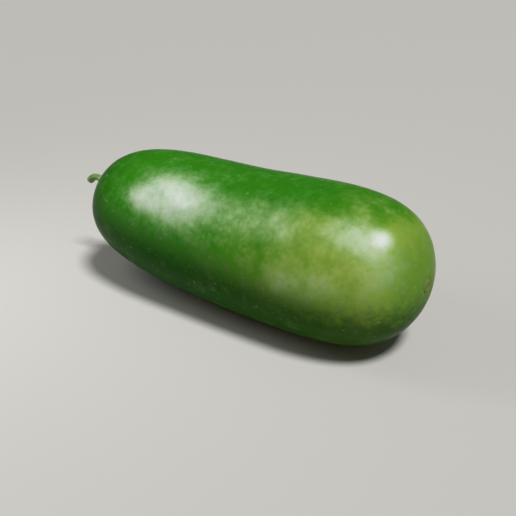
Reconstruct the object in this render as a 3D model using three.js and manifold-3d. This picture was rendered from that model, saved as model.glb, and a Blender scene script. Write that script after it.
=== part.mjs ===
// Winter melon: a long blunt-ended fruit that lies on its ground spot, with the stub of its stem.
//
// Millimetres, +Z up. +X runs from the stem end to the blossom end. The origin is on the flat ground spot,
// under the middle of the whole length, stem included.

import * as THREE from 'three';
import { mergeVertices } from 'three/addons/utils/BufferGeometryUtils.js';
import Module from 'manifold-3d';

// Fruit
const FRUIT_LENGTH = 360;
// Half width as a share of length, from the stem end to the blossom end. Six equal values would make an
// ellipsoid. High values at the ends make them blunt, and low ones between make the flanks run straight.
const FULLNESS = [0.545, 0.38, 0.335, 0.365, 0.385, 0.675];
// How high the axis of the fruit runs, from the stem end to the blossom end. It arches up behind the stem and
// sags a little towards the middle.
const AXIS_HEIGHTS = [0, 15, -12, -2, -1, 0];
// How much of the round belly is missing where the fruit lay on the ground and grew flat.
const GROUND_SPOT_DEPTH = 2.5;
// Shallow hollows at the two ends: how high their middle is above the fruit's axis, their depth there, and
// the radius at which most of the depth is gone. The stem grows a little above the axis.
const STEM_HOLLOW = { height: 14, depth: 3, radius: 12 };
const BLOSSOM_HOLLOW = { height: 0, depth: 1.5, radius: 7 };
const FRUIT_RINGS = 40;
const FRUIT_SIDES = 48;

// Stem stub. Its centre line rises out of the stem hollow and hooks over. Places are measured from the end of
// the fruit's axis, and the first one is inside the fruit.
const STEM_LINE = new THREE.CubicBezierCurve3(
  new THREE.Vector3(7, 0, 11.5),
  new THREE.Vector3(-6, 0, 17),
  new THREE.Vector3(-11.5, 0, 28),
  new THREE.Vector3(-25, 0, 15.5),
);
const STEM_RADIUS = 3.2;
// The root spreads to this much more than the stem's radius, and the spread fades over this share of the
// line.
const STEM_ROOT_SPREAD = 6;
const STEM_ROOT_SHARE = 0.3;
// The cut tip is a little thicker than the middle, and the spread starts at this share of the line.
const STEM_TIP_SPREAD = 0.6;
const STEM_TIP_START = 0.6;
const STEM_RIDGES = 5;
const STEM_RIDGE_HEIGHT = 0.11;
const STEM_STATIONS = 20;
const STEM_SIDES = 30;

// Room left between the stem's root and the skin that it grows from.
const JOIN_GAP = 0.3;

// Corners closer together than this are the same corner.
const MERGE_DISTANCE = 1e-4;

const wasm = await Module();
wasm.setup();

// The value at share t of a smooth curve with these control values, by repeated averaging.
function curveValue(controlValues, t) {
  let values = controlValues;
  while (values.length > 1) {
    const before = values;
    values = before.slice(1).map((value, i) => THREE.MathUtils.lerp(before[i], value, t));
  }
  return values[0];
}

// How deep a hollow is at a place on the end of the fruit.
function hollowDepth(hollow, y, z) {
  const distance = Math.hypot(y, z - hollow.height);
  return hollow.depth * Math.exp(-((distance / hollow.radius) ** 2));
}

// Half outline of the straight fruit, from stem end to blossom end, as points of radius and length.
function fruitOutline() {
  const points = [];
  for (let ring = 0; ring <= FRUIT_RINGS; ring++) {
    const t = (1 - Math.cos((Math.PI * ring) / FRUIT_RINGS)) / 2;
    const radius = FRUIT_LENGTH * Math.sqrt(t * (1 - t)) * curveValue(FULLNESS, t);
    points.push(new THREE.Vector2(radius, FRUIT_LENGTH * t));
  }
  return points;
}

// A turned fruit laid along X, with its ends pressed in and its axis bent.
function wholeFruit() {
  const geometry = new THREE.LatheGeometry(fruitOutline(), FRUIT_SIDES);
  geometry.rotateZ(-Math.PI / 2);
  const position = geometry.attributes.position;
  for (let i = 0; i < position.count; i++) {
    const x = position.getX(i);
    const y = position.getY(i);
    const z = position.getZ(i);
    const t = THREE.MathUtils.clamp(x / FRUIT_LENGTH, 0, 1);
    const inset = t < 0.5 ? hollowDepth(STEM_HOLLOW, y, z) : -hollowDepth(BLOSSOM_HOLLOW, y, z);
    position.setXYZ(i, x + inset, y, z + curveValue(AXIS_HEIGHTS, t));
  }
  return geometry;
}

// Radius of the stem at share t of its line, before its ridges.
function stemRadius(t) {
  const root = STEM_ROOT_SPREAD * Math.exp(-((t / STEM_ROOT_SHARE) ** 2));
  const tip = STEM_TIP_SPREAD * THREE.MathUtils.smoothstep(t, STEM_TIP_START, 1);
  return STEM_RADIUS + root + tip;
}

// A turned stem whose points are then carried to the stem's line, with ridges that run along it.
function wholeStem() {
  const points = [new THREE.Vector2(0, 0)];
  for (let station = 0; station <= STEM_STATIONS; station++) {
    const t = station / STEM_STATIONS;
    points.push(new THREE.Vector2(stemRadius(t), t));
  }
  points.push(new THREE.Vector2(0, 1));
  const geometry = new THREE.LatheGeometry(points, STEM_SIDES);
  const position = geometry.attributes.position;
  const level = new THREE.Vector3(0, 1, 0);
  const local = new THREE.Vector3();
  for (let i = 0; i < position.count; i++) {
    local.fromBufferAttribute(position, i);
    const ridge = 1 + STEM_RIDGE_HEIGHT * Math.cos(STEM_RIDGES * Math.atan2(local.x, local.z));
    const side = STEM_LINE.getTangentAt(local.y).cross(level);
    const place = STEM_LINE.getPointAt(local.y);
    place.addScaledVector(side, local.x * ridge);
    place.addScaledVector(level, local.z * ridge);
    position.setXYZ(i, place.x, place.y, place.z);
  }
  return geometry;
}

// A closed mesh as a solid for cutting, without the triangles that have no width at the poles of a turned
// shape.
function toSolid(geometry) {
  const bare = geometry.clone();
  bare.deleteAttribute('normal');
  bare.deleteAttribute('uv');
  const merged = mergeVertices(bare, MERGE_DISTANCE);
  const corners = merged.index.array;
  const kept = [];
  for (let i = 0; i < corners.length; i += 3) {
    const [a, b, c] = corners.slice(i, i + 3);
    if (a !== b && b !== c && c !== a) {
      kept.push(a, b, c);
    }
  }
  const vertProperties = new Float32Array(merged.attributes.position.array);
  return new wasm.Manifold(new wasm.Mesh({ numProp: 3, vertProperties, triVerts: new Uint32Array(kept) }));
}

function toGeometry(solid) {
  const mesh = solid.getMesh();
  const geometry = new THREE.BufferGeometry();
  geometry.setAttribute('position', new THREE.BufferAttribute(mesh.vertProperties, 3));
  geometry.setIndex(new THREE.BufferAttribute(mesh.triVerts, 1));
  geometry.computeVertexNormals();
  return geometry;
}

const roundFruit = wholeFruit();
roundFruit.computeBoundingBox();
const restHeight = roundFruit.boundingBox.min.z + GROUND_SPOT_DEPTH;

// The ground is a block whose top face cuts the belly flat.
const ground = new THREE.BoxGeometry(2 * FRUIT_LENGTH, FRUIT_LENGTH, FRUIT_LENGTH);
ground.translate(0, 0, restHeight - FRUIT_LENGTH / 2);
const fruitSolid = toSolid(roundFruit).subtract(toSolid(ground));

// The root of the stem ends on the skin: what would be inside the fruit is cut away.
const stemSolid = toSolid(wholeStem()).subtract(fruitSolid.translate([-JOIN_GAP, 0, 0]));

const fruit = new THREE.Mesh(
  toGeometry(fruitSolid),
  new THREE.MeshStandardMaterial({ name: 'rind', color: 0x4f9230, roughness: 0.38, metalness: 0 }),
);
fruit.name = 'melon_fruit';

const stem = new THREE.Mesh(
  toGeometry(stemSolid),
  new THREE.MeshStandardMaterial({ name: 'stem', color: 0x86a35c, roughness: 0.75, metalness: 0 }),
);
stem.name = 'melon_stem';

const melon = new THREE.Group();
melon.add(fruit, stem);

// The origin goes to the ground spot, under the middle of the whole length.
const middle = new THREE.Box3().setFromObject(melon).getCenter(new THREE.Vector3());
for (const piece of melon.children) {
  piece.position.set(-middle.x, 0, -restHeight);
}

export default melon;
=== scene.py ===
"""A winter melon lying on its ground spot, with the hooked stub of its stem.

Laid out as an add-on: settings, one operator for each piece and one for the stage, and a sidebar panel that
lists them. Metres, +Z up, +X from the stem end to the blossom end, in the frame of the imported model.
"""

from math import cos, exp, pi, radians, sin, sqrt

import bmesh
import bpy
from bpy.props import FloatProperty, FloatVectorProperty, IntProperty, PointerProperty
from bpy.types import NodeSocket, Operator, Panel, PropertyGroup
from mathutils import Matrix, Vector


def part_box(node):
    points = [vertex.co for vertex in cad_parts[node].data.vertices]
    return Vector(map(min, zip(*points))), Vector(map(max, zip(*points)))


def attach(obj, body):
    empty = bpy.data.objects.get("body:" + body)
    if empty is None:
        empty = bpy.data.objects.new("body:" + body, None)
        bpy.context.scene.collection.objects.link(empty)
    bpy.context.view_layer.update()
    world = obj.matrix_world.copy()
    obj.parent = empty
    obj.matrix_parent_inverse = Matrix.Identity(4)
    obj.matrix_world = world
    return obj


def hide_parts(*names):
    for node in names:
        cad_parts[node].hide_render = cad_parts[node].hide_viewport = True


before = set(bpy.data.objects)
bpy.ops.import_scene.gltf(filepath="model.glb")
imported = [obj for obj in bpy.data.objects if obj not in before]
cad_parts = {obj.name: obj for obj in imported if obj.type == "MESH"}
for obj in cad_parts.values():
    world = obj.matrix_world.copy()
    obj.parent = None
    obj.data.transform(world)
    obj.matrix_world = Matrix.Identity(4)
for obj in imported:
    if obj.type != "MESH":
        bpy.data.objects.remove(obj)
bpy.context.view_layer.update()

bl_info = {
    "name": "Winter Melon",
    "version": (1, 0, 0),
    "blender": (4, 5, 0),
    "location": "3D View > Sidebar > Melon",
    "description": "Builds a winter melon with its stem stub, its skin materials and a plain stage",
    "category": "Add Mesh",
}

MM = 0.001
FRUIT_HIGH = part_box("melon_fruit")[1]

# How many times a piece's coarse cage is split and rounded
REFINE_LEVELS = 3

# How far the blossom end is dished
BLOSSOM_DISH = 0.8 * MM

# Steps inwards from the last ring at each end of the fruit, as width and rise in millimetres. The blossom
# end has a low dome, a raised lip, a groove and the dry button in its middle.
STEM_END_STEPS = ((2.8, 0.3), (2.8, 0.2))
BLOSSOM_END_STEPS = ((3.6, 0.3), (0.9, 0.5), (0.9, -0.2), (0.9, -0.9), (1.6, -0.2), (0.9, 0.5))

# The corners within this distance of the hollow's middle are moved in full, and those around them less.
HOLLOW_MIDDLE = 4 * MM

# The edge of the flat ground spot is smoothed up to this height, this many times over.
GROUND_EDGE_HEIGHT = 1.5 * MM
GROUND_EDGE_ROUNDS = 12

# The stem's centre line as the corners of one smooth curve, from the end of the fruit's axis. It starts
# inside the fruit.
STEM_CORNERS = ((7, 0, 11.5), (-6, 0, 17), (-11.5, 0, 28), (-25, 0, 15.5))
STEM_LINE = [Vector(corner) * MM for corner in STEM_CORNERS]

# Corners of the stem's cage from the crest of one ridge to the next
CORNERS_PER_RIDGE = 4

# The middle of the stem's spread root, as a share of its curve
ROOT_MIDDLE = 0.1

# Steps inwards at the stem's ends: its root is flat, and its cut tip is a thin rim of skin around the pith,
# which fills most of the tip's radius and has dried hollow.
STEM_ROOT_STEPS = ((2.5, 0),)
STEM_TIP_STEPS = ((0.25, 0), (0.35, -0.1), (0.9, -0.7), (0.9, -0.3))
PITH_SHARE = 0.8

# Slack for picking the corners that lie on a plane
SLACK = 0.1 * MM

# The fruit's usual radius as a share of its length
RADIUS_SHARE = 0.18

# Which way the side that grew in the sun faces, and which way the painted shade lies, low down and towards
# the stem end, along, across and up
SUNNY_SIDE = (-0.25, 0.26, 0.97)
PAINTED_SHADE_SIDE = (-0.5, 0, -1)

# The band along the top that stays green: how far towards the sunny side it starts and is full, and by what
# share of the fruit's length its ripening lags
GREEN_BAND_START = 0.34
GREEN_BAND_FULL = 0.7
GREEN_BAND_LAG = 0.32

# Where bloom has stayed thick on the rind, and where the highlights of the two lights are painted on as
# thick bloom.
# Places and reaches are along, across and up, as shares of the fruit's length, radius and radius. The last
# number is the thickness.
BLOOM_AND_HIGHLIGHT_PATCHES = (
    # Painted highlight of the side softbox over bloom, with painted sheen around it and below it
    ((0.37, -0.71, 0.72), (0.125, 0.42, 0.42), 0.93),
    ((0.395, -0.72, 0.72), (0.05, 0.20, 0.20), 0.3),
    ((0.27, -0.83, 0.57), (0.066, 0.24, 0.21), 0.69),
    ((0.32, -0.62, 0.80), (0.06, 0.20, 0.20), 0.3),
    ((0.42, -0.88, 0.42), (0.16, 0.28, 0.28), 0.36),
    # Painted sheen of the lights over bloom, between the two highlights
    ((0.50, -0.74, 0.70), (0.10, 0.28, 0.28), 0.38),
    ((0.67, -0.76, 0.67), (0.13, 0.38, 0.38), 0.54),
    # Painted highlight of the main light over bloom, with its painted halo
    ((0.87, -0.62, 0.71), (0.09, 0.32, 0.27), 0.82),
    ((0.92, -0.48, 0.70), (0.027, 0.16, 0.13), 0.95),
    ((0.93, -0.65, 0.40), (0.06, 0.45, 0.45), 0.45),
    # Bloom only, low in front and on the back
    ((0.78, -0.98, 0.10), (0.12, 0.35, 0.30), 0.4),
    ((0.30, 0.85, 0.40), (0.20, 0.50, 0.40), 0.7),
    ((0.68, 0.80, 0.55), (0.18, 0.50, 0.40), 0.7),
    ((0.50, 0.90, -0.40), (0.25, 0.50, 0.30), 0.5),
)

# A patch has thinned out to nothing at this many times its reach.
PATCH_EDGE = 1.4

# A pattern is drawn out by shrinking its coordinates, along, across and up. Streaks run along the fruit, and
# fibres run along and up, as the stem does.
STREAK_SHRINK = (0.06, 1, 1)
FIBRE_SHRINK = (0.15, 1, 0.4)


def linear(hex_colour):
    """The linear red, green and blue of an sRGB colour given as six hex digits."""
    shares = [int(hex_colour[i:i + 2], 16) / 255 for i in (0, 2, 4)]
    return [c / 12.92 if c <= 0.04045 else ((c + 0.055) / 1.055) ** 2.4 for c in shares]


def colour_setting(name, description, hex_colour):
    """A colour setting whose default is an sRGB hex value."""
    default = (*linear(hex_colour), 1)
    return FloatVectorProperty(
        name=name, description=description, subtype="COLOR", size=4, min=0, max=1, default=default
    )


def size_setting(name, description, millimetres):
    """A length setting whose default is given in millimetres."""
    default = millimetres * MM
    return FloatProperty(
        name=name, description=description, subtype="DISTANCE", unit="LENGTH", default=default
    )


def angle_setting(name, description, degrees):
    """An angle setting whose default is given in degrees."""
    return FloatProperty(name=name, description=description, subtype="ANGLE", default=radians(degrees))


def offset_setting(name, description, millimetres):
    """A setting for a place, along, across and up, whose default is given in millimetres."""
    default = [length * MM for length in millimetres]
    return FloatVectorProperty(name=name, description=description, subtype="TRANSLATION", default=default)


class FruitSettings(PropertyGroup):
    """Sizes and colours of the fruit."""

    length: size_setting("Length", "Length of the fruit from end to end, without its stem", 360)
    fullness: FloatVectorProperty(
        name="Fullness",
        description="Width as a share of length, from the stem end on. Equal values make an ellipsoid",
        size=6,
        default=(0.545, 0.38, 0.335, 0.365, 0.385, 0.675),
    )
    axis_heights: FloatVectorProperty(
        name="Axis heights",
        description="How high the fruit's axis runs, from the stem end to the blossom end",
        subtype="XYZ_LENGTH",
        unit="LENGTH",
        size=6,
        default=(0, 15 * MM, -12 * MM, -2 * MM, -1 * MM, 0),
    )
    rings: IntProperty(name="Rings", description="Spans of the cage from end to end", default=34)
    sides: IntProperty(name="Sides", description="Sides of the cage around the fruit", default=32)
    hollow_depth: size_setting("Hollow depth", "Depth of the hollow that the stem grows from", 3)
    hollow_reach: size_setting("Hollow reach", "How far from its middle the hollow is felt", 26)
    hollow_height: size_setting("Hollow height", "How far the hollow's middle is above the axis", 14)
    foot_height: size_setting("Foot height", "How far the rind climbs up the foot of the stem", 4)
    foot_reach: size_setting("Foot reach", "How far from the stem's middle the climb starts", 17)
    lump_height: size_setting("Lump height", "Rise and fall of the broad lumps left by uneven growth", 1.6)
    lump_size: size_setting("Lump size", "Distance from one broad lump to the next", 75)
    dimple_height: size_setting("Dimple height", "Rise and fall of the small dimples in the rind", 0.35)
    dimple_size: size_setting("Dimple size", "Distance from one small dimple to the next", 11)
    deep_green: colour_setting("Deep green", "Rind on the side that grew in the sun", "2d7712")
    leaf_green: colour_setting("Leaf green", "Lighter mottling of the rind", "3f8c24")
    # Painted shade: the rind is drawn darker low down and near the stem end, where the fruit lies in shade
    painted_shade_green: colour_setting("Shade green", "Darkest rind, low down and near the stem", "144604")
    ripe_green: colour_setting("Ripe green", "Yellower rind towards the blossom end", "5f9026")
    ripe_yellow: colour_setting("Ripe yellow", "Yellowest rind, next to the blossom end", "9cb04c")
    # The thin bloom colour also paints the sheen and halos around the painted highlights
    thin_bloom_and_sheen: colour_setting("Thin bloom", "Film of bloom that lets the rind show through", "b8dc98")
    # The bloom colour is also the colour of the painted highlights
    bloom_and_highlight: colour_setting("Bloom", "Powdery wax where it is thick", "e1e5e2")
    speck: colour_setting("Speck", "Pale pores of the rind", "b3c48a")
    ground_cream: colour_setting("Ground cream", "Pale ground spot that never saw the sun", "cdc88c")
    cork: colour_setting("Cork", "Dry brown tissue of the blossom scar", "7d7250")


class StemSettings(PropertyGroup):
    """Sizes and colours of the stem stub."""

    radius: size_setting("Radius", "Radius of the stem between its root and its tip", 3.2)
    root_spread: size_setting("Root spread", "How much more than the radius the root spreads", 6)
    root_share: FloatProperty(
        name="Root share", description="Share of the stem's length over which the spread fades", default=0.3
    )
    tip_spread: size_setting("Tip spread", "How much more than the radius the cut tip spreads", 0.6)
    tip_start: FloatProperty(
        name="Tip start", description="Share of the stem's length where the tip's spread starts", default=0.6
    )
    ridges: IntProperty(name="Ridges", description="Ridges that run along the stem", default=5)
    ridge_share: FloatProperty(
        name="Ridge share", description="Ridge height as a share of the radius", default=0.16
    )
    stations: IntProperty(name="Stations", description="Spans of the cage along the stem", default=22)
    wrinkle_height: size_setting("Wrinkle height", "Rise and fall of the drying skin", 0.35)
    wrinkle_size: size_setting("Wrinkle size", "Distance from one wrinkle to the next", 3)
    bark: colour_setting("Bark", "Green skin of the stem", "567c36")
    fibre: colour_setting("Fibre", "Paler fibres along the stem", "829f5c")
    root: colour_setting("Root", "Paler corky skin where the stem spreads onto the fruit", "a6c898")
    pith: colour_setting("Pith", "Dried cut face of the stem", "b8a478")


class StageSettings(PropertyGroup):
    """Floor, light and camera. Azimuths are turns around the fruit from its front."""

    floor: colour_setting("Floor", "Pale matt floor", "cbc9c4")
    floor_size: size_setting("Floor size", "Width and depth of the floor", 12000)
    floor_drop: size_setting("Floor drop", "How far the floor lies below the melon", 0.1)
    sky: colour_setting("Sky", "Even pale light from all around", "ece9e3")
    sky_strength: FloatProperty(name="Sky strength", description="Strength of the even light", default=0.1)
    backdrop_strength: FloatProperty(
        name="Backdrop strength", description="How bright the sky looks behind the floor", default=0.66
    )
    key_azimuth: angle_setting("Key azimuth", "Main light's turn around the fruit", 70)
    key_elevation: angle_setting("Key elevation", "Main light's height", 64)
    key_softness: angle_setting("Key softness", "How wide the main light looks from the fruit", 14)
    key_strength: FloatProperty(name="Key strength", description="Strength of the main light", default=2.8)
    side_azimuth: angle_setting("Side azimuth", "Softbox's turn around the fruit", -58)
    side_elevation: angle_setting("Side elevation", "Softbox's height", 38)
    side_distance: size_setting("Side distance", "Softbox's distance from the place it lights", 450)
    side_width: size_setting("Side width", "Width of the softbox", 160)
    side_length: size_setting("Side length", "Length of the softbox", 340)
    side_power: FloatProperty(name="Side power", description="Power of the softbox in watts", default=0.6)
    side_aim: offset_setting("Side aim", "What the softbox lights, from the fruit's middle", (-36, -49, 38))
    camera_azimuth: angle_setting("Camera azimuth", "Camera's turn around the fruit", 34.6)
    camera_elevation: angle_setting("Camera elevation", "Camera's height", 25)
    camera_distance: size_setting("Camera distance", "Camera's distance from the point it looks at", 675)
    camera_aim: offset_setting("Camera aim", "What the camera looks at, from the middle", (11.1, 3.2, -20.7))
    lens: FloatProperty(name="Lens", description="Camera's focal length in millimetres", default=50)
    sensor: FloatProperty(name="Sensor", description="Camera's sensor width in millimetres", default=36)
    near_limit: size_setting("Near limit", "Nearest distance at which the camera sees", 10)


# Modelling


def start_piece(name):
    """Names the primitive that was just added, puts its place in its mesh and opens it for editing."""
    piece = bpy.context.object
    piece.name = name
    piece.data.name = name
    bpy.ops.object.transform_apply(location=True, rotation=True, scale=True)
    bpy.ops.object.mode_set(mode="EDIT")
    bpy.ops.mesh.select_mode(type="VERT")
    bpy.ops.mesh.select_all(action="SELECT")
    return piece


def select_where(piece, test):
    """In edit mode, selects the corners that pass the test, and what lies between them."""
    mesh = bmesh.from_edit_mesh(piece.data)
    for corner in mesh.verts:
        corner.select_set(test(corner))
    mesh.select_flush_mode()
    bmesh.update_edit_mesh(piece.data)


def extrude_ring(old_centre, new_centre, old_radius, new_radius):
    """Extrudes the selected ring to a new centre and scales it there to a new radius."""
    bpy.ops.mesh.extrude_region_move(TRANSFORM_OT_translate={"value": new_centre - old_centre})
    growth = new_radius / old_radius
    bpy.ops.transform.resize(value=(growth, growth, growth), center_override=new_centre)


def cap_end(steps):
    """Fills the selected ring, steps inwards by (width, rise) pairs and closes the middle with a point."""
    bpy.ops.mesh.edge_face_add()
    for width, rise in steps:
        bpy.ops.mesh.inset(thickness=width * MM, depth=rise * MM)
    bpy.ops.mesh.poke()


def apply_modifier(piece, kind, name, **settings):
    """Adds a modifier with its settings and applies it."""
    modifier = piece.modifiers.new(name, kind)
    for key, value in settings.items():
        setattr(modifier, key, value)
    bpy.ops.object.modifier_apply(modifier=name)


def roughen(piece, name, size, height):
    """Pushes the surface in and out by a cloud pattern: size from lump to lump, height from low to high."""
    clouds = bpy.data.textures.new(name, "CLOUDS")
    clouds.noise_scale = size
    clouds.noise_depth = 1
    apply_modifier(piece, "DISPLACE", name, texture=clouds, texture_coords="LOCAL", strength=height)
    bpy.data.textures.remove(clouds)


def finish_piece(piece, node):
    """Turns faces outwards, smooths the shading, ties the piece to its body and hides the CAD part it stands
    in for.
    """
    bpy.ops.object.mode_set(mode="EDIT")
    bpy.ops.mesh.select_all(action="SELECT")
    bpy.ops.mesh.normals_make_consistent(inside=False)
    bpy.ops.object.mode_set(mode="OBJECT")
    bpy.ops.object.shade_smooth()
    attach(piece, "root")
    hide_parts(node)


# Fruit


def curve_value(control_values, share):
    """Value of a smooth curve with these control values at a share of its length, by repeated averaging."""
    values = list(control_values)
    while len(values) > 1:
        values = [a + (b - a) * share for a, b in zip(values, values[1:])]
    return values[0]


def half_width(settings, share):
    """Radius of the round fruit at a share of its length."""
    return settings.length * sqrt(share * (1 - share)) * curve_value(settings.fullness, share)


def axis_start(settings):
    """Where the fruit's axis starts, at the stem end. The blossom end and the top lie where CAD has them."""
    shares = [percent / 100 for percent in range(101)]
    tops = [half_width(settings, share) + curve_value(settings.axis_heights, share) for share in shares]
    return Vector((FRUIT_HIGH.x + BLOSSOM_DISH - settings.length, 0, FRUIT_HIGH.z - max(tops)))


def ring_centre(settings, share):
    """Middle of the fruit's cross-section at a share of its length."""
    offset = Vector((settings.length * share, 0, curve_value(settings.axis_heights, share)))
    return axis_start(settings) + offset


def model_fruit(settings):
    """The fruit: rings along its axis, closed ends, lumps, dimples, the stem's hollow, the ground spot."""
    # Rings stand closer together towards the ends. Refining rounds a ring's corners off, so they start
    # further out.
    shares = [(1 - cos(pi * ring / settings.rings)) / 2 for ring in range(1, settings.rings)]
    corner_growth = 3 / (2 + cos(2 * pi / settings.sides))
    centres = [ring_centre(settings, share) for share in shares]
    radii = [half_width(settings, share) * corner_growth for share in shares]
    bpy.ops.mesh.primitive_circle_add(
        vertices=settings.sides, radius=radii[0], location=centres[0], rotation=(0, pi / 2, 0)
    )
    fruit = start_piece("melon_fruit_rind")
    for ring in range(1, len(shares)):
        extrude_ring(centres[ring - 1], centres[ring], radii[ring - 1], radii[ring])

    cap_end(BLOSSOM_END_STEPS)
    select_where(fruit, lambda corner: corner.co.x < centres[0].x + SLACK)
    cap_end(STEM_END_STEPS)
    bpy.ops.mesh.select_all(action="SELECT")
    bpy.ops.mesh.normals_make_consistent(inside=False)
    bpy.ops.object.mode_set(mode="OBJECT")

    apply_modifier(fruit, "SUBSURF", "refine", levels=REFINE_LEVELS, render_levels=REFINE_LEVELS)
    roughen(fruit, "lumps", settings.lump_size, settings.lump_height)
    roughen(fruit, "dimples", settings.dimple_size, settings.dimple_height)

    # The stem's hollow is pressed in around a point a little above the axis, and its middle climbs the stem.
    bpy.ops.object.mode_set(mode="EDIT")
    hollow = axis_start(settings) + Vector((0, 0, settings.hollow_height))
    select_where(fruit, lambda corner: (corner.co - hollow).length < HOLLOW_MIDDLE)
    for push, reach in (
        (settings.hollow_depth, settings.hollow_reach),
        (-settings.foot_height, settings.foot_reach),
    ):
        bpy.ops.transform.translate(
            value=(push, 0, 0),
            use_proportional_edit=True,
            proportional_edit_falloff="SMOOTH",
            proportional_size=reach,
        )

    # The ground spot is flat, with a soft edge.
    select_where(fruit, lambda corner: corner.co.z < 0)
    bpy.ops.transform.resize(value=(1, 1, 0), center_override=(0, 0, 0))
    select_where(fruit, lambda corner: corner.co.z < GROUND_EDGE_HEIGHT)
    bpy.ops.mesh.vertices_smooth(factor=0.5, repeat=GROUND_EDGE_ROUNDS, xaxis=False, yaxis=False)
    bpy.ops.object.mode_set(mode="OBJECT")
    return fruit


# Stem


def stem_place(fruit_settings, share):
    """Point of the stem's centre line at a share of its curve, and the direction of the line there."""
    steps = [b - a for a, b in zip(STEM_LINE, STEM_LINE[1:])]
    rest = 1 - share
    weights = (rest ** 3, 3 * rest ** 2 * share, 3 * rest * share ** 2, share ** 3)
    offset = sum((corner * weight for corner, weight in zip(STEM_LINE, weights)), Vector())
    slope = steps[0] * rest ** 2 + steps[1] * 2 * rest * share + steps[2] * share ** 2
    return axis_start(fruit_settings) + offset, slope.normalized()


def stem_radius(settings, share):
    """Radius of the stem in the valleys between its ridges."""
    root = settings.root_spread * exp(-((share / settings.root_share) ** 2))
    tip = settings.tip_spread * max(0, (share - settings.tip_start) / (1 - settings.tip_start)) ** 2
    return settings.radius + root + tip


def model_stem(settings, fruit_settings):
    """The stem stub: a ridged ring carried along a hooked line, with a dried hollow in its cut tip."""
    root_place, root_direction = stem_place(fruit_settings, 0)
    root_radius = stem_radius(settings, 0)
    turn = root_direction.to_track_quat("Z", "Y").to_euler()
    bpy.ops.mesh.primitive_circle_add(
        vertices=CORNERS_PER_RIDGE * settings.ridges, radius=root_radius, location=root_place, rotation=turn
    )
    stem = start_piece("melon_stem_stub")

    # The first corner of each ridge is its crest.
    select_where(stem, lambda corner: corner.index % CORNERS_PER_RIDGE == 0)
    growth = 1 + settings.ridge_share
    bpy.ops.transform.resize(value=(growth, growth, growth), center_override=root_place)
    bpy.ops.mesh.select_all(action="SELECT")

    place, direction, radius = root_place, root_direction, root_radius
    for station in range(1, settings.stations + 1):
        share = station / settings.stations
        next_place, next_direction = stem_place(fruit_settings, share)
        next_radius = stem_radius(settings, share)
        extrude_ring(place, next_place, radius, next_radius)

        # The rotate operator turns the other way when it runs without a window.
        lean = direction.rotation_difference(next_direction).to_euler().y
        bpy.ops.transform.rotate(value=-lean, orient_axis="Y", center_override=next_place)
        place, direction, radius = next_place, next_direction, next_radius

    # The pith in the cut tip is the stem's second material.
    cap_end(STEM_TIP_STEPS)
    mesh = bmesh.from_edit_mesh(stem.data)
    for face in mesh.faces:
        if (face.calc_center_median() - place).length < PITH_SHARE * radius:
            face.material_index = 1
    select_where(stem, lambda corner: (corner.co - root_place).dot(root_direction) < SLACK)
    cap_end(STEM_ROOT_STEPS)
    bpy.ops.object.mode_set(mode="OBJECT")
    apply_modifier(stem, "SUBSURF", "refine", levels=REFINE_LEVELS, render_levels=REFINE_LEVELS)
    roughen(stem, "wrinkles", settings.wrinkle_size, settings.wrinkle_height)
    return stem


# Materials


# Sockets of a Mix node that mixes colours
MIX_SHARE = 0
MIX_UNDER = 6
MIX_OVER = 7
MIX_RESULT = 2


def add_node(tree, kind, inputs=None, **settings):
    """Adds a node with its settings. Each input is a value, or the output socket that feeds it."""
    node = tree.nodes.new(kind)
    for name, value in settings.items():
        setattr(node, name, value)
    for name, value in (inputs or {}).items():
        if isinstance(value, NodeSocket):
            tree.links.new(value, node.inputs[name])
        else:
            node.inputs[name].default_value = value
    return node


def new_material(name):
    """An empty node material with its shader and output."""
    material = bpy.data.materials.new(name)
    material.use_nodes = True
    tree = material.node_tree
    tree.nodes.clear()
    shader = add_node(tree, "ShaderNodeBsdfPrincipled")
    add_node(tree, "ShaderNodeOutputMaterial", {"Surface": shader.outputs["BSDF"]})
    return material, tree, shader


def paint_layers(tree, skin, patterns, layers):
    """Lays colours over one another, from the ground colour up. Each layer has its colour, what it follows,
    the patterns that break it up with their weights, the values where there is none of it and most of it,
    and how much most is."""
    for colour, follows, weights, none_at, most_at, most in layers:
        for name, weight in weights.items():
            inputs = {0: patterns[name], 1: weight, 2: follows}
            follows = add_node(tree, "ShaderNodeMath", inputs, operation="MULTIPLY_ADD").outputs["Value"]
        inputs = {"Value": follows, "From Min": none_at, "From Max": most_at, "To Max": most}
        share = add_node(
            tree, "ShaderNodeMapRange", inputs, interpolation_type="SMOOTHSTEP"
        ).outputs["Result"]
        inputs = {MIX_SHARE: share, MIX_UNDER: skin, MIX_OVER: colour}
        skin = add_node(tree, "ShaderNodeMix", inputs, data_type="RGBA").outputs[MIX_RESULT]
    return skin


def rind_patterns(tree, place):
    """Growth patterns of the rind by name, each between 0 and 1. Streaks run lengthwise. Bloom is a fine
    powder, so its grain is drawn coarser than it is, to show at all."""
    streak_place = add_node(
        tree, "ShaderNodeMapping", {"Vector": place, "Scale": STREAK_SHRINK}
    ).outputs["Vector"]

    # Size from patch to patch in millimetres, detail and roughness
    patterns = {}
    for name, base, size, detail, roughness in (
        ("drift", place, 60, 2, 0.5),
        ("cloud", place, 26, 6, 0.6),
        ("mottle", place, 9, 4, 0.6),
        ("fleck", place, 4.5, 2, 0.5),
        ("grain", place, 2.6, 2, 0.5),
        ("streak", streak_place, 3, 2, 0.5),
    ):
        inputs = {"Vector": base, "Scale": 1 / (size * MM), "Detail": detail, "Roughness": roughness}
        patterns[name] = add_node(tree, "ShaderNodeTexNoise", inputs).outputs["Fac"]
    return patterns


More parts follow.
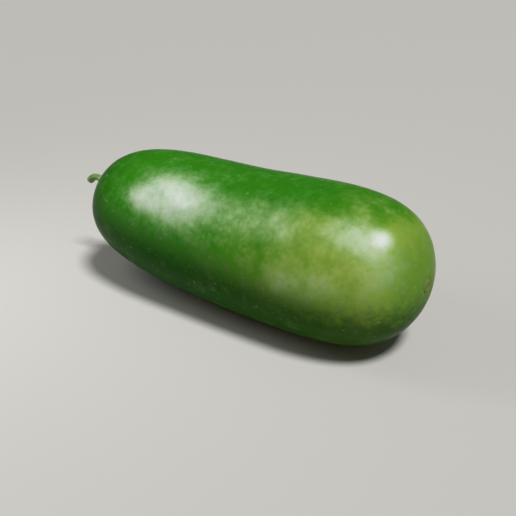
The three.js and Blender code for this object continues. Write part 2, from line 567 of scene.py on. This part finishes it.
def bloom_and_highlight_depth(tree, fruit_place):
    """How thick the bloom is, with the painted highlights laid on as thick bloom. It has stayed thick in
    patches and is rubbed thin between them.
    """
    depth = 0.0
    for patch_place, patch_reach, thickness in BLOOM_AND_HIGHLIGHT_PATCHES:
        patch = add_node(
            tree,
            "ShaderNodeMapping",
            {"Vector": fruit_place, "Location": patch_place, "Scale": patch_reach},
            vector_type="TEXTURE",
        ).outputs["Vector"]
        reach = add_node(tree, "ShaderNodeVectorMath", {0: patch}, operation="LENGTH").outputs["Value"]
        patch_depth = add_node(
            tree,
            "ShaderNodeMapRange",
            {"Value": reach, "From Min": PATCH_EDGE, "From Max": 0.0, "To Max": thickness},
            interpolation_type="SMOOTHSTEP",
        ).outputs["Result"]
        depth = add_node(
            tree, "ShaderNodeMath", {0: patch_depth, 1: depth}, operation="ADD"
        ).outputs["Value"]
    return depth


def waxy_rind(settings):
    """Winter melon rind: a hard green skin under its own wax. It gives a soft gloss over a mottled green
    that turns yellow towards the blossom end, and looks powdered where the wax has stayed on as bloom.
    The lights' highlights are painted into its colour as thick bloom. Shade is painted darker low down
    and at both ends."""
    material, tree, shader = new_material("waxy_winter_melon_rind")
    place = add_node(tree, "ShaderNodeTexCoord").outputs["Object"]
    start = axis_start(settings)
    end = start + Vector((settings.length, 0, 0))
    radius = settings.length * RADIUS_SHARE

    # X runs from 0 at the stem end to 1 at the blossom end; Y and Z are shares of the fruit's radius.
    fruit_place = add_node(
        tree,
        "ShaderNodeMapping",
        {"Vector": place, "Location": start, "Scale": (settings.length, radius, radius)},
        vector_type="TEXTURE",
    ).outputs["Vector"]
    along = add_node(tree, "ShaderNodeSeparateXYZ", {"Vector": fruit_place}).outputs["X"]
    height = add_node(tree, "ShaderNodeSeparateXYZ", {"Vector": place}).outputs["Z"]
    patterns = rind_patterns(tree, place)

    # The side that grew in the sun stays green along the top, almost to the blossom end. Lowness grows
    # towards the painted shade, low down and towards the stem end.
    sunward, lowness = [
        add_node(
            tree, "ShaderNodeVectorMath", {0: fruit_place, 1: side}, operation="DOT_PRODUCT"
        ).outputs["Value"]
        for side in (SUNNY_SIDE, PAINTED_SHADE_SIDE)
    ]
    inputs = {
        "Value": sunward,
        "From Min": GREEN_BAND_START,
        "From Max": GREEN_BAND_FULL,
        "To Max": GREEN_BAND_LAG,
    }
    lag = add_node(
        tree, "ShaderNodeMapRange", inputs, interpolation_type="SMOOTHSTEP"
    ).outputs["Result"]
    ripeness = add_node(
        tree, "ShaderNodeMath", {0: along, 1: lag}, operation="SUBTRACT"
    ).outputs["Value"]
    bloom_and_highlight = bloom_and_highlight_depth(tree, fruit_place)

    # Pale breathing pores and finer dark ones, by their spacing in millimetres. Real ones are a fraction of
    # a millimetre wide, and are drawn wider so that they show.
    specks, pores = [
        add_node(
            tree, "ShaderNodeTexVoronoi", {"Vector": place, "Scale": 1 / (spacing * MM)}
        ).outputs["Distance"]
        for spacing in (8, 4.5)
    ]

    # The scar that the flower left at the blossom end, and the foot of the stem.
    foot = start + Vector((0, 0, settings.hollow_height))
    scar, from_stem = [
        add_node(tree, "ShaderNodeVectorMath", {0: place, 1: middle}, operation="DISTANCE").outputs["Value"]
        for middle in (end, foot)
    ]

    # The patterns that break up the thin film of bloom and its painted sheen, and those that break up the
    # powder and painted highlights over it
    film_and_sheen = {"cloud": 0.7, "mottle": 0.45, "fleck": 0.15}
    powder_and_highlight = {"cloud": 0.8, "mottle": 0.4, "fleck": 0.15, "grain": 0.1}

    # Laid on in this order: greens and yellow, painted shade, bloom with painted highlights, pores,
    # ground spot, the stem's foot, scar
    layers = (
        (settings.leaf_green, 0.0, {"mottle": 0.4, "cloud": 0.5, "streak": 0.1}, 0.36, 0.7, 0.45),
        (settings.ripe_green, ripeness, {"drift": 0.3, "cloud": 0.3, "mottle": 0.2}, 0.78, 1.2, 1.0),
        (settings.ripe_yellow, ripeness, {"drift": 0.2, "cloud": 0.5, "mottle": 0.4}, 1.1, 1.6, 0.85),
        # Painted shade: deep green again at the rim of the blossom end
        (settings.deep_green, along, {"cloud": 0.1, "mottle": 0.1}, 1.01, 1.09, 0.6),
        (settings.thin_bloom_and_sheen, lowness, {"mottle": 1.0, "fleck": 0.8}, 0.25, 0.9, 0.09),
        # Painted shade: darker towards the stem end, and low down
        (settings.painted_shade_green, along, {"cloud": 0.1}, 0.27, 0.07, 0.9),
        (settings.painted_shade_green, lowness, {"cloud": 0.3, "mottle": 0.5, "fleck": 0.2}, -0.15, 0.55, 0.9),
        (settings.thin_bloom_and_sheen, bloom_and_highlight, film_and_sheen, 0.6, 1.5, 0.42),
        (settings.bloom_and_highlight, bloom_and_highlight, powder_and_highlight, 1.0, 2.4, 1.0),
        (settings.speck, specks, {"grain": 0.5}, 0.44, 0.2, 0.25),
        (settings.deep_green, pores, {"grain": 0.3}, 0.33, 0.18, 0.25),
        (settings.ground_cream, height, {"cloud": 12 * MM, "mottle": 6 * MM}, 22 * MM, 9 * MM, 0.85),
        (settings.leaf_green, from_stem, {"mottle": 6 * MM, "grain": 4 * MM}, 20 * MM, 12 * MM, 0.6),
        (settings.cork, scar, {"grain": 2 * MM}, 7.5 * MM, 5 * MM, 0.8),
    )
    skin = paint_layers(tree, settings.deep_green, patterns, layers)
    tree.links.new(skin, shader.inputs["Base Color"])

    # Plant wax bends light a little less than glass does, and is a little rougher in some places than in
    # others. Its bloom scatters most of the shine away, and the highlights are painted into its colour
    # instead.
    roughness = add_node(
        tree,
        "ShaderNodeMapRange",
        {"Value": patterns["cloud"], "From Min": 0.3, "From Max": 0.7, "To Min": 0.26, "To Max": 0.34},
    ).outputs["Result"]
    tree.links.new(roughness, shader.inputs["Roughness"])
    shader.inputs["IOR"].default_value = 1.45
    shader.inputs["Specular IOR Level"].default_value = 0.02
    relief = add_node(
        tree, "ShaderNodeBump", {"Height": patterns["grain"], "Distance": 0.1 * MM}
    ).outputs["Normal"]
    tree.links.new(relief, shader.inputs["Normal"])
    return material


def dry_stem(settings, fruit_settings):
    """Fibrous stem skin, ridged and drying after the cut. It is matt and streaked along its length."""
    material, tree, shader = new_material("drying_ridged_stem")
    place = add_node(tree, "ShaderNodeTexCoord").outputs["Object"]
    fibre_place = add_node(
        tree, "ShaderNodeMapping", {"Vector": place, "Scale": FIBRE_SHRINK}
    ).outputs["Vector"]

    # Fibres and blotches by their width in millimetres. Real fibres are finer, and are drawn coarser so that
    # they show.
    patterns = {}
    for name, base, size in (("fibre", fibre_place, 0.8), ("blotch", place, 4)):
        inputs = {"Vector": base, "Scale": 1 / (size * MM), "Detail": 3, "Roughness": 0.6}
        patterns[name] = add_node(tree, "ShaderNodeTexNoise", inputs).outputs["Fac"]

    # The root is paler than the rest of the stem, and turns green again where it runs into the rind.
    inward = add_node(tree, "ShaderNodeSeparateXYZ", {"Vector": place}).outputs["X"]
    end = axis_start(fruit_settings).x
    root = stem_place(fruit_settings, ROOT_MIDDLE)[0]
    from_root = add_node(
        tree, "ShaderNodeVectorMath", {0: place, 1: root}, operation="DISTANCE"
    ).outputs["Value"]
    layers = (
        (settings.fibre, 0.0, {"fibre": 0.6, "blotch": 0.4}, 0.42, 0.6, 0.9),
        (settings.root, from_root, {"blotch": 10 * MM, "fibre": 8 * MM}, 28 * MM, 15 * MM, 0.75),
        (settings.bark, 0.0, {"fibre": 0.7, "blotch": 0.3}, 0.52, 0.38, 0.6),
        (settings.bark, inward, {"blotch": 6 * MM}, end - 1 * MM, end + 3.5 * MM, 0.95),
    )
    skin = paint_layers(tree, settings.bark, patterns, layers)
    tree.links.new(skin, shader.inputs["Base Color"])
    shader.inputs["Roughness"].default_value = 0.65
    shader.inputs["Specular IOR Level"].default_value = 0.3
    relief = add_node(
        tree, "ShaderNodeBump", {"Height": patterns["fibre"], "Distance": 0.5 * MM}
    ).outputs["Normal"]
    tree.links.new(relief, shader.inputs["Normal"])
    return material


def dry_pith(settings):
    """Cut stem pith, dried in air. It is spongy and matt, straw-coloured with darker pores."""
    material, tree, shader = new_material("dried_stem_pith")
    place = add_node(tree, "ShaderNodeTexCoord").outputs["Object"]

    # Pores by their spacing in millimetres, drawn coarser than they are so that they show.
    pore_spacing = 0.7
    inputs = {"Vector": place, "Scale": 1 / (pore_spacing * MM), "Detail": 3, "Roughness": 0.6}
    patterns = {"pores": add_node(tree, "ShaderNodeTexNoise", inputs).outputs["Fac"]}
    layers = ((settings.bark, 0.0, {"pores": 1.0}, 0.55, 0.4, 0.6),)
    skin = paint_layers(tree, settings.pith, patterns, layers)
    tree.links.new(skin, shader.inputs["Base Color"])
    shader.inputs["Roughness"].default_value = 0.85
    return material


def matt_floor(settings):
    """Matt painted board: even and pale, with no shine of its own."""
    material, tree, shader = new_material("matt_pale_board")
    shader.inputs["Base Color"].default_value = settings.floor
    shader.inputs["Roughness"].default_value = 0.9
    return material


# Stage


def direction_to(azimuth, elevation):
    """Unit direction from the fruit towards a light or camera, by its turn from the front and its height."""
    level = cos(elevation)
    return Vector((sin(azimuth) * level, -cos(azimuth) * level, sin(elevation)))


def look_back(item, direction):
    """Turns a light or camera to look back along the direction in which it stands."""
    item.rotation_euler = direction.to_track_quat("Z", "Y").to_euler()


def add_floor(settings):
    """The floor, just below the melon."""
    floor_place = (0, 0, -settings.floor_drop)
    bpy.ops.mesh.primitive_plane_add(size=settings.floor_size, location=floor_place)
    floor = start_piece("floor")
    bpy.ops.object.mode_set(mode="OBJECT")
    floor.data.materials.append(matt_floor(settings))


def studio_sky(settings):
    """Even light from all around. It is weak, but behind the floor it looks as pale as the floor."""
    world = bpy.data.worlds.new("studio_sky")
    world.use_nodes = True
    tree = world.node_tree
    background = tree.nodes["Background"]
    background.inputs["Color"].default_value = settings.sky
    seen = add_node(tree, "ShaderNodeLightPath").outputs["Is Camera Ray"]
    inputs = {"Value": seen, "To Min": settings.sky_strength, "To Max": settings.backdrop_strength}
    strength = add_node(tree, "ShaderNodeMapRange", inputs).outputs["Result"]
    tree.links.new(strength, background.inputs["Strength"])
    return world


def add_key_light(settings, middle):
    """The main light. It comes from high up, and its shadows have soft edges."""
    towards_key = direction_to(settings.key_azimuth, settings.key_elevation)
    bpy.ops.object.light_add(type="SUN", location=middle + towards_key)
    light = bpy.context.object
    light.name = "key_light"
    light.data.energy = settings.key_strength
    light.data.angle = settings.key_softness
    look_back(light, towards_key)


def add_side_light(settings, middle):
    """A softbox at the side, which the camera doesn't see."""
    towards_side = direction_to(settings.side_azimuth, settings.side_elevation)
    side_place = middle + Vector(settings.side_aim) + towards_side * settings.side_distance
    bpy.ops.object.light_add(type="AREA", location=side_place)
    light = bpy.context.object
    light.name = "side_softbox"
    light.data.shape = "RECTANGLE"
    light.data.size = settings.side_width
    light.data.size_y = settings.side_length
    light.data.energy = settings.side_power
    look_back(light, towards_side)
    light.visible_camera = False


def add_camera(settings, middle):
    """The camera. It looks down on the fruit from in front, nearer the blossom end."""
    towards_camera = direction_to(settings.camera_azimuth, settings.camera_elevation)
    camera_place = middle + Vector(settings.camera_aim) + towards_camera * settings.camera_distance
    bpy.ops.object.camera_add(location=camera_place)
    camera = bpy.context.object
    camera.name = "camera"
    look_back(camera, towards_camera)
    camera.data.lens = settings.lens
    camera.data.sensor_width = settings.sensor
    camera.data.clip_start = settings.near_limit
    return camera


# Operators


class MELON_OT_add_fruit(Operator):
    """Model the fruit and give it its waxy rind"""

    bl_idname = "melon.add_fruit"
    bl_label = "Add Fruit"

    def execute(self, context):
        bpy.ops.object.select_all(action="DESELECT")
        settings = context.scene.melon_fruit
        fruit = model_fruit(settings)
        fruit.data.materials.append(waxy_rind(settings))
        finish_piece(fruit, "melon_fruit")
        return {"FINISHED"}


class MELON_OT_add_stem(Operator):
    """Model the stem stub and give it its dry skin and pith"""

    bl_idname = "melon.add_stem"
    bl_label = "Add Stem"

    def execute(self, context):
        bpy.ops.object.select_all(action="DESELECT")
        settings = context.scene.melon_stem
        fruit_settings = context.scene.melon_fruit
        stem = model_stem(settings, fruit_settings)
        stem.data.materials.append(dry_stem(settings, fruit_settings))
        stem.data.materials.append(dry_pith(settings))
        finish_piece(stem, "melon_stem")
        return {"FINISHED"}


class MELON_OT_set_stage(Operator):
    """Set the floor, the light and the camera"""

    bl_idname = "melon.set_stage"
    bl_label = "Set Stage"

    def execute(self, context):
        bpy.ops.object.select_all(action="DESELECT")
        scene = context.scene
        settings = scene.melon_stage
        fruit = scene.melon_fruit
        middle = axis_start(fruit) + Vector((fruit.length / 2, 0, 0))
        add_floor(settings)
        scene.world = studio_sky(settings)
        add_key_light(settings, middle)
        add_side_light(settings, middle)
        scene.camera = add_camera(settings, middle)
        scene.view_settings.view_transform = "Standard"
        return {"FINISHED"}


class MELON_PT_panel(Panel):
    """The settings of the fruit, the stem and the stage, each with the button that makes it"""

    bl_idname = "MELON_PT_panel"
    bl_label = "Winter Melon"
    bl_space_type = "VIEW_3D"
    bl_region_type = "UI"
    bl_category = "Melon"

    def draw(self, context):
        scene = context.scene
        for settings, operator in (
            (scene.melon_fruit, MELON_OT_add_fruit),
            (scene.melon_stem, MELON_OT_add_stem),
            (scene.melon_stage, MELON_OT_set_stage),
        ):
            box = self.layout.box()
            for name in settings.__annotations__:
                box.prop(settings, name)
            box.operator(operator.bl_idname)


CLASSES = (
    FruitSettings,
    StemSettings,
    StageSettings,
    MELON_OT_add_fruit,
    MELON_OT_add_stem,
    MELON_OT_set_stage,
    MELON_PT_panel,
)


def register():
    for item in CLASSES:
        bpy.utils.register_class(item)
    bpy.types.Scene.melon_fruit = PointerProperty(type=FruitSettings)
    bpy.types.Scene.melon_stem = PointerProperty(type=StemSettings)
    bpy.types.Scene.melon_stage = PointerProperty(type=StageSettings)


def unregister():
    del bpy.types.Scene.melon_stage
    del bpy.types.Scene.melon_stem
    del bpy.types.Scene.melon_fruit
    for item in reversed(CLASSES):
        bpy.utils.unregister_class(item)


def main():
    """Builds everything."""
    register()
    bpy.ops.melon.add_fruit()
    bpy.ops.melon.add_stem()
    bpy.ops.melon.set_stage()


if __name__ == "__main__":
    main()
